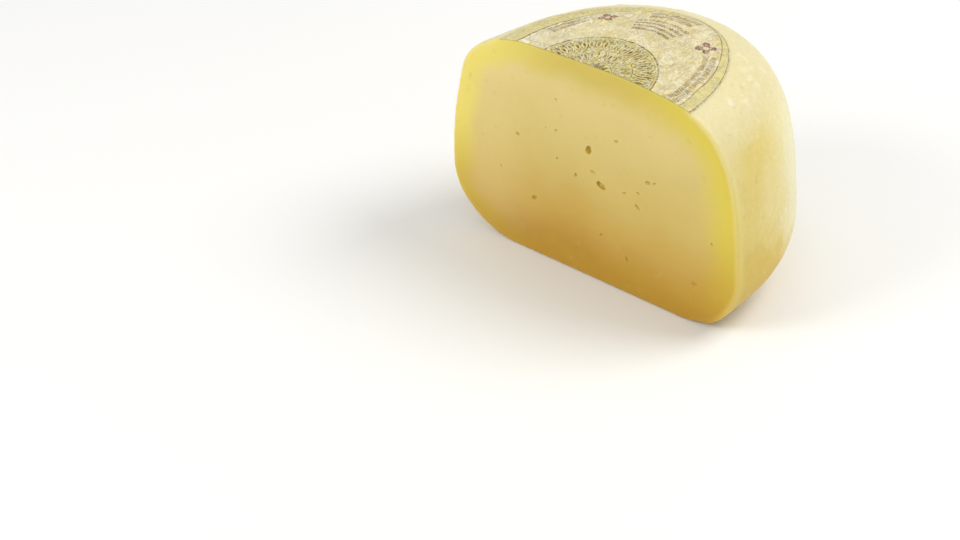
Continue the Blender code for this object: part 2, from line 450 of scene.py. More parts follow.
def cheese_mesh(grid):
    """One closed mesh of the rind's grid, welded to the loops of the cut face. Slot 0 is rind, 1 paste."""
    around = grid.shape[0] - 1
    down = grid.shape[1] - 1
    points = [grid[0, 0], *grid[:, 1:down].reshape(-1, 3), grid[0, down]]
    top = 0
    base = len(points) - 1

    def at(i, j):
        if j == 0:
            return top
        return base if j == down else 1 + i * (down - 1) + (j - 1)

    faces = []
    for i in range(around):
        for j in range(down):
            corners = [at(i, j), at(i, j + 1), at(i + 1, j + 1), at(i + 1, j)]
            faces.append(list(dict.fromkeys(corners)))
    slots = [0] * len(faces)
    loop = [at(0, j) for j in range(down)] + [at(around, j) for j in range(down, 0, -1)]
    outline = np.array([points[k] for k in loop])
    for ring in face_loops(outline):
        start = len(points)
        points.extend(ring)
        new = list(range(start, start + len(ring)))
        faces += [
            [loop[k], new[k], new[(k + 1) % len(new)], loop[(k + 1) % len(new)]] for k in range(len(new))
        ]
        loop = new
    points.append(np.array([points[k] for k in loop]).mean(axis=0))
    faces += [[loop[k], len(points) - 1, loop[(k + 1) % len(loop)]] for k in range(len(loop))]
    slots += [1] * (len(faces) - len(slots))
    mesh = bpy.data.meshes.new("pecorino_half_detail")
    mesh.from_pydata([tuple(point) for point in points], [], faces)
    mesh.polygons.foreach_set("material_index", slots)
    facing_out(mesh)
    return mesh


def facing_out(mesh):
    """Turns every face of a closed mesh outwards."""
    work = bmesh.new()
    work.from_mesh(mesh)
    bmesh.ops.recalc_face_normals(work, faces=work.faces)
    work.to_mesh(mesh)
    work.free()


def new_object(name, mesh):
    made = bpy.data.objects.new(name, mesh)
    bpy.context.scene.collection.objects.link(made)
    return made


def eye_balls(materials):
    """One mesh of uneven balls, which open the eyes in the cut face."""
    work = bmesh.new()
    for index, (along, height, half_length, half_width, turn, depth) in enumerate(EYES + PRICKS):
        ball = bmesh.ops.create_icosphere(work, subdivisions=4 if half_length > 1.8 * MM else 3, radius=1.0)
        for vertex in ball["verts"]:
            wobble = 1.0 + 0.24 * noise.noise(vertex.co * 1.3 + Vector((9.1 * index, SEED, 0.0)))
            wobble += 0.10 * noise.noise(vertex.co * 3.1 + Vector((3.7 * index, 0.0, SEED)))
            vertex.co = vertex.co * wobble
        place = Matrix.Translation((along, -CUT_OFFSET - EYE_SETBACK * depth, height))
        place @= Matrix.Rotation(math.radians(-turn), 4, "Y")
        place @= Matrix.Diagonal((half_length, depth, half_width, 1.0))
        bmesh.ops.transform(work, matrix=place, verts=ball["verts"])
    for face in work.faces:
        face.material_index = 1
        face.smooth = True
    mesh = bpy.data.meshes.new("eye_balls")
    work.to_mesh(mesh)
    work.free()
    for material in materials:
        mesh.materials.append(material)
    return mesh


def open_eyes(cheese, materials):
    """Cuts the eyes into the cheese and keeps the result as its mesh."""
    cutter = new_object("eye_balls", eye_balls(materials))
    boolean = cheese.modifiers.new("eyes", "BOOLEAN")
    boolean.operation = "DIFFERENCE"
    boolean.solver = "MANIFOLD"
    boolean.object = cutter
    graph = bpy.context.evaluated_depsgraph_get()
    cut = bpy.data.meshes.new_from_object(cheese.evaluated_get(graph))
    cheese.modifiers.clear()
    cheese.data = cut
    bpy.data.objects.remove(cutter, do_unlink=True)


def keep_values(mesh, name, values):
    """Keeps one number on each point of the mesh, for its materials to read."""
    mesh.attributes.new(name, "FLOAT", "POINT").data.foreach_set("value", values.astype(np.float32))


def rind_depth(places, outline):
    """How far points near the cut face lie under the rind, measured in the plane of the cut."""
    inside = np.flatnonzero(places[:, 1] < -CUT_OFFSET + 4.0 * MM)
    start = outline[:, [0, 2]]
    span = np.roll(start, -1, axis=0) - start
    depth = np.zeros(len(places))
    for part in np.array_split(inside, 40):  # in parts, to need less memory
        away = places[part][:, None, [0, 2]] - start[None]
        share = np.clip((away * span).sum(axis=2) / (span**2).sum(axis=1), 0.0, 1.0)
        depth[part] = np.sqrt(((away - share[..., None] * span) ** 2).sum(axis=2)).min(axis=1)
    return depth


def make_cheese(materials):
    """The half wheel with relief, pits and eyes, and the values that its materials read."""
    smooth = rind_grid()
    pits = scattered_pits(smooth, (label_distance(smooth) > 0.002) & (smooth[..., 2] > 0.012))
    grid = rough_rind(smooth, pits)
    cheese = new_object("pecorino_half_detail", cheese_mesh(grid))
    for material in materials:
        cheese.data.materials.append(material)
    open_eyes(cheese, materials)
    places = np.empty(len(cheese.data.vertices) * 3)
    cheese.data.vertices.foreach_get("co", places)
    places = places.reshape(-1, 3)
    keep_values(cheese.data, "rind_depth", rind_depth(places, cut_outline(grid)))
    keep_values(cheese.data, "crumb", np.minimum(1.0, crumb(places)))
    # pit depths, which the rind material turns into painted shade in the pits
    keep_values(cheese.data, "pit", pitted(places, pits) / (0.25 * MM))
    cheese.data.shade_smooth()
    cheese.data.set_sharp_from_angle(angle=math.radians(50))
    return cheese


# ---------------- the label


def label_grid():
    """Plan positions of the label, [round, out], as a half fan from the middle of its cut edge."""
    start = np.array([LABEL_CENTRE[0], -CUT_OFFSET + 0.5 * EDGE_ROUNDING])
    away = start - np.array(LABEL_CENTRE)
    direction = np.linspace(0.0, math.pi, LABEL_ROUND_STEPS + 1)
    ray = np.stack([np.cos(direction), np.sin(direction)], axis=-1)
    forward = ray @ away
    reach = -forward + np.sqrt(forward**2 - away @ away + LABEL_RADIUS**2)
    for _ in range(8):
        reach = reach - label_distance(start + ray * reach[:, None])
    share = np.linspace(0.0, 1.0, LABEL_OUT_STEPS + 1)
    return start + ray[:, None] * (reach[:, None] * share)[..., None]


def label_wrinkles(places):
    """Height of the thin film's creases, nowhere below 0."""
    sway = np.stack([lumps(places, 0.007, 21), lumps(places, 0.007, 22), 0.0 * places[..., 2]], -1)
    bent = (places + 0.0024 * sway) * (1.2, 0.8, 1.0)  # creases run rather away from the cut
    ridges = np.maximum(0.0, 1.0 - 3.0 * np.abs(lumps(bent, 0.0075, 23)))
    small = np.maximum(0.0, 1.0 - 3.2 * np.abs(lumps(bent, 0.0036, 24)))
    patches = 0.45 + 0.55 * smoothstep(-0.25, 0.35, lumps(places, 0.018, 25))
    return patches * (0.30 * MM * ridges**1.5 + 0.18 * MM * small**1.5)


def print_places(under):
    """Where each point of the film lay before it was drawn over the wheel, across and along from its centre,
    and how far it lies past each of the two printed rings now."""
    away, angle = round_label(under)
    ring, edge = stretched_rings(angle)
    stretch = smoothstep(0.55, 1.0, away / ring)
    inner = away * (1.0 + stretch * (PRINT_RING / ring - 1.0))
    outer = PRINT_RING + (away - ring) * (PRINT_EDGE - PRINT_RING) / (edge - ring)
    flat = np.where(away < ring, inner, outer)
    return flat * np.cos(angle), flat * np.sin(angle), away - ring, away - edge


def film_mesh(upper, lower):
    """A closed mesh of two sheets, each a fan of points [round, out], joined along their rim."""
    around = upper.shape[0] - 1
    out = upper.shape[1] - 1
    size = (around + 1) * out
    points = [tuple(sheet[0, 0]) for sheet in (upper, lower)]
    for sheet in (upper, lower):
        points += [tuple(point) for point in sheet[:, 1:].reshape(-1, 3)]

    def at(side, i, j):
        return side if j == 0 else 2 + side * size + i * out + (j - 1)

    faces = []
    for i in range(around):
        for j in range(out):
            corners = ((i, j), (i, j + 1), (i + 1, j + 1), (i + 1, j))
            for side in (0, 1):
                faces.append(list(dict.fromkeys(at(side, *corner) for corner in corners)))
    rim = [(i, out) for i in range(around + 1)] + [(around, j) for j in range(out - 1, -1, -1)]
    rim += [(0, j) for j in range(1, out)]
    for here, there in zip(rim, rim[1:] + rim[:1]):
        faces.append([at(0, *here), at(0, *there), at(1, *there), at(1, *here)])
    mesh = bpy.data.meshes.new("label_film")
    mesh.from_pydata(points, [], faces)
    facing_out(mesh)
    return mesh


def make_label(material):
    """The printed film: a thin closed sheet over the top, cut off flush with the cut face."""
    plan = label_grid()
    under = settled(unsettled(plan[..., 0], plan[..., 1], top_height))
    under[..., 2] += broad_relief(under)
    edge = smoothstep(0.0, -0.0008, label_distance(under))
    upper = under.copy()
    upper[..., 2] += (LABEL_LIFT + label_wrinkles(under)) * edge
    lower = under.copy()
    lower[..., 2] += LABEL_LIFT * edge - LABEL_THICKNESS
    mesh = film_mesh(upper, lower)
    mesh.materials.append(material)
    mesh.shade_smooth()
    mesh.set_sharp_from_angle(angle=math.radians(60))
    names = ("print_across", "print_along", "past_ring", "past_edge")
    for name, values in zip(names, print_places(under)):
        on_both = [values[0, 0]] * 2 + list(values[:, 1:].ravel()) * 2
        keep_values(mesh, name, np.array(on_both))
    return new_object("label_film", mesh)


# ---------------- materials


def srgb(red, green, blue):
    """The linear colour that shaders take, from screen values of 11 to 255."""
    return tuple(((channel / 255 + 0.055) / 1.055) ** 2.4 for channel in (red, green, blue))


class Nodes:
    """Short calls that add nodes to a material. Each returns an output socket."""

    def __init__(self, name, roughness):
        self.material = bpy.data.materials.new(name)
        self.material.use_nodes = True
        self.tree = self.material.node_tree
        self.shader = self.tree.nodes["Principled BSDF"]
        self.shader.inputs["Roughness"].default_value = roughness
        self.place = self.add("ShaderNodeTexCoord").outputs["Object"]

    def add(self, kind, **settings):
        node = self.tree.nodes.new(kind)
        for key, value in settings.items():
            setattr(node, key, value)
        return node

    def feed(self, socket, value):
        if isinstance(value, bpy.types.NodeSocket):
            self.tree.links.new(value, socket)
        elif isinstance(value, tuple) and len(value) == 3 and socket.type == "RGBA":
            socket.default_value = (*value, 1.0)
        else:
            socket.default_value = value

    def math(self, operation, first, second=0.0, third=0.0, clamp=False):
        node = self.add("ShaderNodeMath", operation=operation, use_clamp=clamp)
        for socket, value in zip(node.inputs, (first, second, third)):
            self.feed(socket, value)
        return node.outputs[0]

    def times(self, first, second):
        return self.math("MULTIPLY", first, second)

    def ramp(self, value, low, high, start=0.0, end=1.0):
        """value from low to high becomes start to end, eased and clamped."""
        node = self.add("ShaderNodeMapRange", interpolation_type="SMOOTHSTEP")
        numbers = {"Value": value, "From Min": low, "From Max": high, "To Min": start, "To Max": end}
        for name, number in numbers.items():
            self.feed(node.inputs[name], number)
        return node.outputs[0]

    def apart(self, first, second):
        return self.math("ABSOLUTE", self.math("SUBTRACT", first, second))

    def near(self, value, middle, width, strength=1.0):
        """strength where value is middle, fading to 0 where it is width away."""
        return self.ramp(self.apart(value, middle), 0.0, width, strength, 0.0)

    def gradient(self, value, stops):
        """A colour read off stops, each (value, colour), with a value in metres."""
        low = stops[0][0]
        high = stops[-1][0]
        node = self.add("ShaderNodeValToRGB")
        self.feed(node.inputs["Fac"], self.math("DIVIDE", self.math("SUBTRACT", value, low), high - low))
        elements = node.color_ramp.elements
        while len(elements) < len(stops):
            elements.new(0.5)
        for element, (at, colour) in zip(elements, stops):
            element.position = (at - low) / (high - low)
            element.color = (*colour, 1.0)
        return node.outputs["Color"]

    def stored(self, name):
        """A number kept on the mesh's points."""
        return self.add("ShaderNodeAttribute", attribute_name=name).outputs["Fac"]

    def mix(self, share, first, second):
        node = self.add("ShaderNodeMix", data_type="RGBA")
        self.feed(node.inputs[0], share)
        self.feed(node.inputs[6], first)
        self.feed(node.inputs[7], second)
        return node.outputs[2]

    def noise(self, size, detail=2.0, roughness=0.5, place=None, distortion=0.0):
        """Noise from 0 to 1 whose lumps are size metres across."""
        node = self.add("ShaderNodeTexNoise")
        self.feed(node.inputs["Vector"], self.place if place is None else place)
        numbers = {"Scale": 1.0 / size, "Detail": detail, "Roughness": roughness, "Distortion": distortion}
        for name, number in numbers.items():
            node.inputs[name].default_value = number
        return node.outputs["Fac"]

    def cells(self, size):
        """Distance to the nearest of many points, about size metres apart, as a share of size."""
        node = self.add("ShaderNodeTexVoronoi")
        self.feed(node.inputs["Vector"], self.place)
        node.inputs["Scale"].default_value = 1.0 / size
        return node.outputs["Distance"]

    def stretched(self, x=1.0, y=1.0, z=1.0):
        """Object coordinates, each axis multiplied."""
        node = self.add("ShaderNodeVectorMath", operation="MULTIPLY")
        self.feed(node.inputs[0], self.place)
        node.inputs[1].default_value = (x, y, z)
        return node.outputs[0]

    def axes(self):
        """Object coordinates X, Y and Z."""
        node = self.add("ShaderNodeSeparateXYZ")
        self.feed(node.inputs[0], self.place)
        return node.outputs

    def bump(self, height, depth, normal=None):
        """height from 0 to 1 over a real depth in metres."""
        node = self.add("ShaderNodeBump")
        self.feed(node.inputs["Height"], height)
        node.inputs["Distance"].default_value = depth
        if normal is not None:
            self.feed(node.inputs["Normal"], normal)
        return node.outputs[0]

    def finish(self, colour, roughness, normal, scatter, reach):
        """Joins the results to the shader. reach is how far red, green and blue light spreads, in metres."""
        looks = {"Base Color": colour, "Roughness": roughness, "Normal": normal}
        scattering = {"Subsurface Weight": scatter, "Subsurface Radius": reach, "Subsurface Scale": 1.0}
        for name, value in (looks | scattering).items():
            self.feed(self.shader.inputs[name], value)
        return self.material


RIND_CREAM = srgb(226, 221, 182)
RIND_YELLOW = srgb(216, 196, 110)
# The rind's deeper colour low on the side, by height
RIND_LOW = (
    (0.012, srgb(202, 165, 42)),
    (0.032, srgb(206, 179, 76)),
    (0.046, srgb(208, 184, 96)),
)
RIND_MOTTLE = srgb(207, 182, 99)
RIND_TOP = srgb(220, 210, 163)
BLOOM = srgb(232, 225, 202)
SPECK_AND_PIT_SHADE = srgb(168, 132, 74)
BAND_LEFT = srgb(229, 213, 102)
BAND_MIDDLE = srgb(206, 184, 80)
BAND_RIGHT = srgb(217, 198, 68)
# Near the base the band is as golden brown as the paste beside it: partly its colour, partly painted shade
BAND_LOW = (
    (0.006, srgb(186, 143, 28)),
    (0.018, srgb(197, 163, 34)),
    (0.032, srgb(200, 170, 34)),
)
EYE_HOLLOW_SHADE = srgb(194, 165, 38)
FLECK = srgb(200, 172, 96)
# The pale line along the cut's edges, by height: partly paler skin, partly a painted highlight of the rounded
# edge
SKIN_AND_EDGE_HIGHLIGHT = (
    (0.010, srgb(208, 184, 88)),
    (0.035, srgb(216, 196, 110)),
    (0.057, srgb(219, 205, 122)),
    (0.070, srgb(221, 208, 138)),
    (0.080, srgb(222, 210, 154)),
)
# The paste's colour by height: paler near the top, warmer and deeper near the base, there partly painted
# shade
CORE = (
    (0.004, srgb(172, 126, 24)),
    (0.015, srgb(190, 146, 48)),
    (0.030, srgb(200, 166, 75)),
    (0.045, srgb(206, 181, 98)),
    (0.062, srgb(211, 189, 112)),
    (0.082, srgb(218, 198, 126)),
)
CORE_LEFT = srgb(232, 211, 142)
INK = srgb(106, 78, 16)
INK_BROWN = srgb(116, 84, 56)
MAROON = srgb(116, 36, 36)
GOLD = srgb(184, 152, 78)
FILM = srgb(227, 205, 141)
FILM_PALE = srgb(238, 218, 167)
FILM_WEAR_AND_HIGHLIGHT = srgb(250, 242, 210)
# painted shade beside the label's creases
FILM_SHADE = srgb(192, 168, 104)
FILM_YELLOW = srgb(223, 206, 134)
SEAL_FIELD = srgb(219, 200, 117)


def rind_material(face):
    """The rind, pale along the cut's edges (partly a painted highlight). face is the cut plane's y."""
    n = Nodes("pecorino_rind", 0.55)
    crumbs = n.stored("crumb")
    streaks = n.noise(0.018, 3.0, 0.5, n.stretched(1.0, 1.0, 0.25))
    clouds = n.noise(0.030, 2.0, 0.5)
    _, back, height = n.axes()
    # paler cream towards the right side and the top: partly drier rind, partly a painted rim highlight
    dryness_and_rim_highlight = n.times(n.ramp(back, -0.036, 0.012), n.ramp(height, 0.058, 0.076, 1.0, 0.80))
    dryness_and_rim_highlight = n.math("MAXIMUM", dryness_and_rim_highlight, n.ramp(height, 0.076, 0.092, 0.0, 0.64))
    slope = n.math("ADD", height, n.ramp(back, -0.036, 0.010, -0.006, 0.018))
    slope = n.math("ADD", slope, n.ramp(n.noise(0.011, 4.0, 0.55), 0.32, 0.68, -0.005, 0.005))
    dryness_and_rim_highlight = n.times(dryness_and_rim_highlight, n.ramp(slope, 0.020, 0.046, 0.10, 1.0))
    dryness_and_rim_highlight = n.math("ADD", dryness_and_rim_highlight, n.ramp(streaks, 0.34, 0.66, -0.16, 0.10))
    dryness_and_rim_highlight = n.math("ADD", dryness_and_rim_highlight, n.ramp(clouds, 0.35, 0.65, -0.06, 0.06), clamp=True)
    colour = n.mix(dryness_and_rim_highlight, RIND_YELLOW, RIND_CREAM)
    yellowed = n.times(n.ramp(slope, 0.050, 0.028), n.ramp(back, -0.020, 0.015, 0.95, 0.55))
    colour = n.mix(yellowed, colour, n.gradient(height, RIND_LOW))
    colour = n.mix(n.ramp(height, 0.076, 0.092, 0.0, 0.8), colour, RIND_TOP)
    mottle = n.noise(0.0022, 4.0, 0.65)
    colour = n.mix(n.ramp(mottle, 0.42, 0.62, 0.14, 0.0), colour, RIND_MOTTLE)
    colour = n.mix(n.ramp(mottle, 0.52, 0.70, 0.0, 0.14), colour, BLOOM)
    colour = n.mix(n.ramp(crumbs, 0.05, 0.6, 0.0, 0.5), colour, BLOOM)
    specks = n.times(n.ramp(n.cells(0.0036), 0.07, 0.15, 0.32, 0.0), n.ramp(clouds, 0.44, 0.58))
    # brown specks at random, and painted shade in the pits, darker where they are deeper
    colour = n.mix(n.math("MAXIMUM", specks, n.ramp(n.stored("pit"), 0.3, 1.1, 0.0, 0.14)), colour, SPECK_AND_PIT_SHADE)
    # pale line on the rind beside the cut: partly skin, partly a painted highlight of the rounded edge
    rim = n.ramp(back, face + 1.2 * MM, face + 5.4 * MM, 0.85, 0.0)
    rim = n.times(rim, n.ramp(height, 0.092, 0.086))
    wide = n.ramp(back, face + 2.0 * MM, face + 14.0 * MM, 0.6, 0.0)
    wide = n.times(wide, n.ramp(height, 0.067, 0.074))
    wide = n.times(wide, n.ramp(height, 0.092, 0.084))
    colour = n.mix(n.math("MAXIMUM", rim, wide), colour, n.gradient(height, SKIN_AND_EDGE_HIGHLIGHT))
    grain = n.bump(n.noise(0.0008, 5.0, 0.65), 0.10 * MM)
    pores = n.bump(n.ramp(n.cells(0.0019), 0.0, 0.32), 0.08 * MM, grain)
    n.shader.inputs["Sheen Weight"].default_value = 0.08
    n.shader.inputs["Sheen Roughness"].default_value = 0.45
    return n.finish(colour, n.ramp(clouds, 0.3, 0.7, 0.50, 0.66), pores, 0.45, (0.0042, 0.0028, 0.0011))


def paste_material(face):
    """The cut face's paste. face is the cut plane's y."""
    n = Nodes("pecorino_paste", 0.42)
    depth = n.stored("rind_depth")
    across, back, height = n.axes()
    uneven = n.noise(0.014, 2.0, 0.5)
    clouds = n.noise(0.034, 2.0, 0.5)
    to_right = n.ramp(across, -0.055, 0.055)
    # darker and warmer towards the base: partly the paste's colour, partly painted shade
    core = n.gradient(n.math("ADD", height, n.ramp(clouds, 0.3, 0.7, -0.004, 0.004)), CORE)
    core = n.mix(n.ramp(across, -0.020, -0.055, 0.0, 0.34), core, CORE_LEFT)
    band = n.mix(n.ramp(across, -0.060, -0.010), BAND_LEFT, BAND_MIDDLE)
    band = n.mix(n.ramp(across, 0.010, 0.050), band, BAND_RIGHT)
    # darker towards the base, partly painted shade
    low = n.times(n.ramp(height, 0.058, 0.016), n.ramp(across, -0.066, -0.020, 0.78, 1.0))
    band = n.mix(low, band, n.gradient(height, BAND_LOW))
    under = n.math("ADD", depth, n.ramp(uneven, 0.3, 0.7, -0.0016, 0.0016))
    reach = n.math("MULTIPLY_ADD", to_right, 0.006, 0.0145)
    colour = n.mix(n.ramp(under, 0.0035, reach, 1.0, 0.0), core, band)
    covered = n.times(n.ramp(across, -0.053, -0.047), n.ramp(across, 0.047, 0.041))
    covered = n.times(covered, n.ramp(height, 0.084, 0.090))
    # the pale skin fades out towards the base: painted shade
    bare = n.times(n.math("SUBTRACT", 1.0, covered), n.ramp(height, 0.001, 0.012))
    bare = n.times(bare, n.ramp(across, -0.060, 0.030, 0.60, 1.0))
    skin_and_highlight = n.times(n.ramp(depth, 0.0, 0.0030, 0.9, 0.0), bare)
    colour = n.mix(skin_and_highlight, colour, n.gradient(height, SKIN_AND_EDGE_HIGHLIGHT))
    flecks = n.ramp(n.noise(0.0040, 3.0, 0.6), 0.60, 0.74, 0.0, 0.30)
    colour = n.mix(flecks, colour, FLECK)
    # painted shade inside the eyes: darker olive the deeper below the face
    hollow_shade = n.times(n.ramp(back, face + 0.1 * MM, face + 1.0 * MM), n.ramp(depth, 0.0014, 0.0026))
    colour = n.mix(n.times(hollow_shade, 0.85), colour, EYE_HOLLOW_SHADE)
    smear = n.bump(n.noise(0.0012, 3.0, 0.6, n.stretched(1.0, 1.0, 0.10)), 0.018 * MM)
    grain = n.bump(n.noise(0.0010, 4.0, 0.6), 0.035 * MM, smear)
    return n.finish(colour, n.ramp(uneven, 0.3, 0.7, 0.38, 0.52), grain, 0.55, (0.0050, 0.0033, 0.0013))


PRINT_BLUR = 0.12 * MM  # half the width over which the print's edges fade

# The ornament of the round field in the middle, in millimetres
SEAL_RADIUS = 25.8
SEAL_EDGE = (25.9, 0.75)  # (radius, line width)
SEAL_RINGS = ((24.7, 0.26), (15.9, 0.36), (7.8, 0.36))
# (count, inner radius, outer radius, width, line width or 0 if filled, offset as a share of one)
SEAL_LEAVES = (
    (44, 16.4, 24.2, 2.9, 0.44, 0.0),
    (44, 17.8, 22.8, 1.1, 0.0, 0.0),
    (44, 21.0, 24.4, 1.0, 0.0, 0.5),
    (30, 8.4, 15.5, 2.8, 0.42, 0.0),
    (30, 9.8, 14.8, 1.0, 0.0, 0.0),
    (16, 1.5, 7.4, 2.0, 0.0, 0.0),
)

# The ornament round it, in millimetres, and its spans of angle in degrees
RING_WIDTH = 0.36
BOLD_RING_WIDTH = 0.84
BOLD_RING_SPAN = (150, 215)
EDGE_WIDTH = 0.30
BAR_ROWS = ((190, 33.2, 35.6), (206, 36.5, 38.9))  # (count, inner radius, outer radius)
BAR_WIDTH = 0.90
BAR_SPANS = ((-22, 34), (74, 106), (146, 180))
SCALE_ROWS = (20.5, 23.3, 26.1, 28.9)  # inner radii of four rows of leaves
SCALE_COUNT = 120
SCALE_SIZE = (2.1, 1.6)  # (length, width)
SCALE_SPAN = (66, 114)
GOLD_BAND = (40.4, 43.4)  # inner and outer radius of the yellower band between the rings
GOLD_LEAVES = (110, 40.8, 43.1, 1.7)  # (count, inner radius, outer radius, width)
GOLD_SPAN = (96, 178)
FLOWER_ANGLES = (44, 136)
FLOWER_RADIUS = 34.0
PETAL = 4.6


class Print:
    """Shapes of the label's print round the point across = along = 0, each a share of ink from 0 to 1.
    Lengths are in metres."""

    def __init__(self, n, across, along):
        self.n = n
        squares = n.math("MULTIPLY_ADD", along, along, n.times(across, across))
        self.away = n.math("SQRT", squares)
        turn = n.math("ARCTAN2", along, across)
        self.angle = n.math("WRAP", turn, math.radians(270.0), math.radians(-90.0))

    def soft(self, distance, half_width):
        """Ink up to half_width from a line, given the distance from it."""
        return self.n.ramp(distance, half_width - PRINT_BLUR, half_width + PRINT_BLUR, 1.0, 0.0)

    def ring(self, radius, width):
        return self.soft(self.n.apart(self.away, radius), 0.5 * width)

    def disc(self, radius):
        return self.soft(self.away, radius)

    def between(self, inner, outer):
        past_inner = self.n.ramp(self.away, inner - 0.1 * MM, inner + 0.1 * MM)
        past_outer = self.n.ramp(self.away, outer - 0.1 * MM, outer + 0.1 * MM, 1.0, 0.0)
        return self.n.times(past_inner, past_outer)

    def from_to(self, start, end):
        """A window between two angles in degrees, within -90 to 270, from the cut's right end."""
        edge = math.radians(1.0)
        low = math.radians(start)
        high = math.radians(end)
        after = self.n.ramp(self.angle, low - edge, low + edge)
        before = self.n.ramp(self.angle, high - edge, high + edge, 1.0, 0.0)
        return self.n.times(after, before)

    def sector(self, count, offset=0.0):
        """Distance along the arc to the middle line of the nearest of count equal sectors."""
        n = self.n
        share = n.math("MULTIPLY_ADD", self.angle, count / (2.0 * math.pi), count + offset)
        share = n.math("FRACT", share)
        return n.times(n.apart(share, 0.5), n.times(self.away, 2.0 * math.pi / count))

    def leaves(self, count, inner, outer, width, line=0.0, offset=0.0):
        """count leaves pointing outwards between two radii: outlines line wide, or filled where line is 0."""
        n = self.n
        share = n.math("DIVIDE", n.math("SUBTRACT", self.away, inner), outer - inner, clamp=True)
        half = n.times(n.math("SINE", n.times(share, math.pi)), 0.5 * width)
        off = n.math("SUBTRACT", self.sector(count, offset), half)
        if line > 0.0:
            off = n.math("ABSOLUTE", off)
        drawn = self.soft(off, 0.5 * line)
        return n.times(drawn, self.between(inner, outer))

    def bars(self, count, inner, outer, width):
        """count straight bars pointing outwards between two radii."""
        drawn = self.soft(self.sector(count), 0.5 * width)
        return self.n.times(drawn, self.between(inner, outer))

    def flowers(self, angles, radius, petal):
        """Four-petalled flowers with open middles, centred at that radius and at each angle in degrees."""
        n = self.n
        drawn = []
        for angle in angles:
            turn = n.math("SUBTRACT", self.angle, math.radians(angle))
            side = n.times(self.away, n.math("SINE", turn))
            out = n.math("SUBTRACT", n.times(self.away, n.math("COSINE", turn)), radius)
            reach = n.math("SQRT", n.math("MULTIPLY_ADD", side, side, n.times(out, out)))
            lobes = n.math("ABSOLUTE", n.math("COSINE", n.times(n.math("ARCTAN2", side, out), 2.0)))
            edge = n.times(n.math("MULTIPLY_ADD", lobes, 0.62, 0.38), petal)
            solid = self.soft(n.math("SUBTRACT", reach, edge), 0.0)
            drawn.append(n.math("SUBTRACT", solid, self.soft(reach, 0.26 * petal), clamp=True))
        return any_of(n, drawn)


def any_of(n, shapes):
    """The strongest of several shares."""
    total = shapes[0]
    for shape in shapes[1:]:
        total = n.math("MAXIMUM", total, shape)
    return total


def seal_ornament(n, seal):
    """Rings and rows of leaves in the round field."""
    shapes = [seal.ring(radius * MM, width * MM) for radius, width in SEAL_RINGS]
    for count, inner, outer, width, line, offset in SEAL_LEAVES:
        shapes.append(seal.leaves(count, inner * MM, outer * MM, width * MM, line * MM, offset))
    return any_of(n, shapes)


def printed_rings(n, sheet, seal):
    """The two rings as they lie on the wheel, the inner one partly bolder, and the round field's edge."""
    off_ring = n.math("ABSOLUTE", n.stored("past_ring"))
    off_edge = n.math("ABSOLUTE", n.stored("past_edge"))
    ring = sheet.soft(off_ring, 0.5 * RING_WIDTH * MM)
    bold = n.times(sheet.soft(off_ring, 0.5 * BOLD_RING_WIDTH * MM), sheet.from_to(*BOLD_RING_SPAN))
    edge = sheet.soft(off_edge, 0.5 * EDGE_WIDTH * MM)
    radius, width = SEAL_EDGE
    return any_of(n, [ring, bold, edge, seal.ring(radius * MM, width * MM)])


def brown_rows(n, sheet):
    """Two rows of bars inside the rings, and rows of leaves like scales behind the round field."""
    bars = [sheet.bars(count, inner * MM, outer * MM, BAR_WIDTH * MM) for count, inner, outer in BAR_ROWS]
    spans = [sheet.from_to(*span) for span in BAR_SPANS]
    shown = n.times(any_of(n, bars), any_of(n, spans))
    length, width = SCALE_SIZE
    scales = [
        sheet.leaves(SCALE_COUNT, inner * MM, (inner + length) * MM, width * MM) for inner in SCALE_ROWS
    ]
    return any_of(n, [shown, n.times(any_of(n, scales), sheet.from_to(*SCALE_SPAN))])


def gold_leaves(n, sheet):
    """One row of leaves between the rings."""
    count, inner, outer, width = GOLD_LEAVES
    return n.times(sheet.leaves(count, inner * MM, outer * MM, width * MM), sheet.from_to(*GOLD_SPAN))


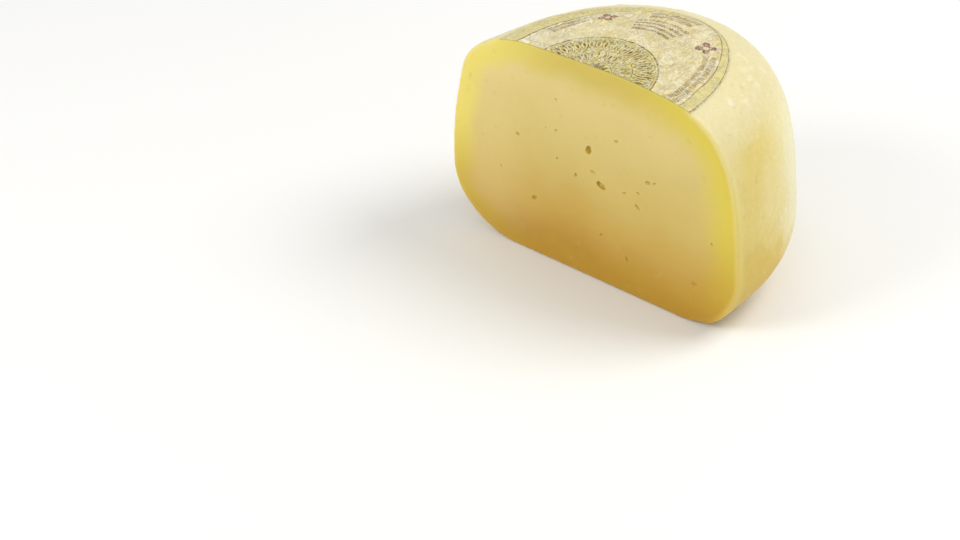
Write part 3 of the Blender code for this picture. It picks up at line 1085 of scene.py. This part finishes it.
def label_material(axis):
    """The printed film. axis is where the wheel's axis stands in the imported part's frame."""
    n = Nodes("label_print", 0.45)
    across, along, _ = n.axes()
    sheet = Print(n, n.stored("print_across"), n.stored("print_along"))
    seal_across = n.math("SUBTRACT", across, axis.x + SEAL_CENTRE[0])
    seal_along = n.math("SUBTRACT", along, axis.y + SEAL_CENTRE[1])
    seal = Print(n, seal_across, seal_along)
    drawn_out = n.stretched(1.25, 0.78, 1.0)
    folds = n.noise(0.0064, 2.0, 0.55, drawn_out, distortion=1.0)
    small = n.noise(0.0036, 2.0, 0.55, drawn_out, distortion=1.0)
    # crease lines, paler where folds whiten the film and partly painted glints; beside them painted shade
    lines = n.math("MAXIMUM", n.near(folds, 0.5, 0.034), n.near(small, 0.5, 0.06, 0.8))
    shades = n.math("MAXIMUM", n.near(folds, 0.555, 0.034), n.near(small, 0.59, 0.05, 0.8))
    film = n.mix(n.ramp(n.noise(0.0065, 4.0, 0.65), 0.38, 0.62), FILM, FILM_PALE)
    # paler towards the left: painted highlight
    film = n.mix(n.ramp(across, -0.005, -0.045, 0.0, 0.25), film, FILM_WEAR_AND_HIGHLIGHT)
    film = n.mix(n.ramp(n.noise(0.0085, 2.0), 0.57, 0.64, 0.0, 0.40), film, FILM_YELLOW)
    inner, outer = GOLD_BAND
    band = n.math("SUBTRACT", sheet.disc(outer * MM), sheet.disc(inner * MM), clamp=True)
    film = n.mix(n.times(band, 0.9), film, FILM_YELLOW)
    film = n.mix(n.times(seal.disc(SEAL_RADIUS * MM), 0.9), film, SEAL_FIELD)
    calm = n.math("MULTIPLY_ADD", band, -0.6, 1.0)
    # painted shade along one side of each crease, calmer in the band
    film = n.mix(n.times(n.times(shades, 0.60), calm), film, FILM_SHADE)
    worn = n.ramp(n.noise(0.0024, 4.0, 0.7), 0.34, 0.56, 0.35, 0.95)
    bold = n.math("MAXIMUM", worn, 0.7)
    flowers = sheet.flowers(FLOWER_ANGLES, FLOWER_RADIUS * MM, PETAL * MM)
    colour = n.mix(n.times(gold_leaves(n, sheet), n.times(worn, 0.4)), film, GOLD)
    colour = n.mix(n.times(brown_rows(n, sheet), n.times(worn, 0.8)), colour, INK_BROWN)
    colour = n.mix(n.times(seal_ornament(n, seal), worn), colour, INK)
    colour = n.mix(n.times(printed_rings(n, sheet, seal), bold), colour, INK)
    colour = n.mix(n.times(flowers, bold), colour, MAROON)
    # paler crease lines: whitened folds, partly painted glints
    colour = n.mix(n.times(n.times(lines, 0.55), calm), colour, FILM_WEAR_AND_HIGHLIGHT)
    creases = n.bump(lines, 0.24 * MM, n.bump(folds, 0.9 * MM))
    grain = n.bump(n.noise(0.0009, 4.0, 0.65), 0.06 * MM, creases)
    n.shader.inputs["Specular IOR Level"].default_value = 0.30
    gloss = n.ramp(n.noise(0.006), 0.3, 0.7, 0.40, 0.56)
    return n.finish(colour, gloss, grain, 0.25, (0.0030, 0.0020, 0.0009))


# ---------------- the studio

VIEW_TURN = 39.14  # degrees that the camera stands to the right of straight before the cut
VIEW_DOWN = 35.0  # degrees that it looks down
VIEW_ROLL = -0.24  # degrees that it is rolled
VIEW_DISTANCE = 1.39
LOOK_AT = (-0.0246, -0.0840, 0.0154)
LENS = 131.25  # focal length and sensor width in millimetres
SENSOR = 36.0

FLOOR_SIZE = 12.0
FLOOR_COLOUR = (0.86, 0.86, 0.85)
WORLD_STRENGTH = 0.60
LAMP_SIZE = 0.6
LAMPS = (  # (name, place, aim, watts, colour)
    ("key_behind", (0.46, 0.42, 0.85), (0.0, 0.0, 0.05), 6.2, (1.0, 0.99, 0.97)),
    ("front_fill", (-0.45, -0.90, 0.70), (0.0, 0.0, 0.08), 5.6, (1.0, 0.985, 0.96)),
)


def pale_floor():
    bpy.ops.mesh.primitive_plane_add(size=FLOOR_SIZE, location=(0.0, 0.0, 0.0))
    floor = bpy.context.object
    floor.name = "floor"
    n = Nodes("pale_floor", 0.7)
    n.feed(n.shader.inputs["Base Color"], FLOOR_COLOUR)
    floor.data.materials.append(n.material)
    floor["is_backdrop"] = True


def soft_light(name, place, aim, power, colour):
    data = bpy.data.lights.new(name, "AREA")
    data.shape = "DISK"
    data.size = LAMP_SIZE
    data.energy = power
    data.color = colour
    lamp = bpy.data.objects.new(name, data)
    lamp.location = place
    lamp.rotation_euler = (Vector(aim) - Vector(place)).to_track_quat("-Z", "Y").to_euler()
    bpy.context.scene.collection.objects.link(lamp)


def studio():
    scene = bpy.context.scene
    scene.view_settings.view_transform = "Standard"
    world = bpy.data.worlds.new("studio")
    world.use_nodes = True
    background = world.node_tree.nodes["Background"]
    background.inputs["Color"].default_value = (1.0, 1.0, 1.0, 1.0)
    background.inputs["Strength"].default_value = WORLD_STRENGTH
    scene.world = world
    for lamp in LAMPS:
        soft_light(*lamp)


def camera():
    data = bpy.data.cameras.new("camera")
    data.lens = LENS
    data.sensor_width = SENSOR
    made = bpy.data.objects.new("camera", data)
    bpy.context.scene.collection.objects.link(made)
    turn = math.radians(VIEW_TURN)
    down = math.radians(VIEW_DOWN)
    away = Vector((math.sin(turn) * math.cos(down), -math.cos(turn) * math.cos(down), math.sin(down)))
    made.location = Vector(LOOK_AT) + away * VIEW_DISTANCE
    upright = (-away).to_track_quat("-Z", "Y").to_matrix()
    made.rotation_euler = (upright @ Matrix.Rotation(math.radians(VIEW_ROLL), 3, "Z")).to_euler()
    bpy.context.scene.camera = made


def box_of(piece):
    """The lowest and the highest corner of a piece."""
    bpy.context.view_layer.update()
    corners = [Vector(corner) for corner in piece.bound_box]
    low = Vector([min(corner[axis] for corner in corners) for axis in range(3)])
    high = Vector([max(corner[axis] for corner in corners) for axis in range(3)])
    return low, high


def main():
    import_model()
    cad_low, cad_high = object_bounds()
    paste = paste_material(cad_low.y)
    rind = rind_material(cad_low.y)
    cheese = make_cheese([rind, paste])
    low, high = box_of(cheese)
    axis = Vector((0.5 * (cad_low.x + cad_high.x - low.x - high.x), cad_low.y - low.y, cad_low.z - low.z))
    label = make_label(label_material(axis))
    for piece in (cheese, label):
        piece.data.transform(Matrix.Translation(axis))
        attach(piece, "root")
    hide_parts("pecorino_half")
    pale_floor()
    studio()
    camera()
    low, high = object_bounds()


main()
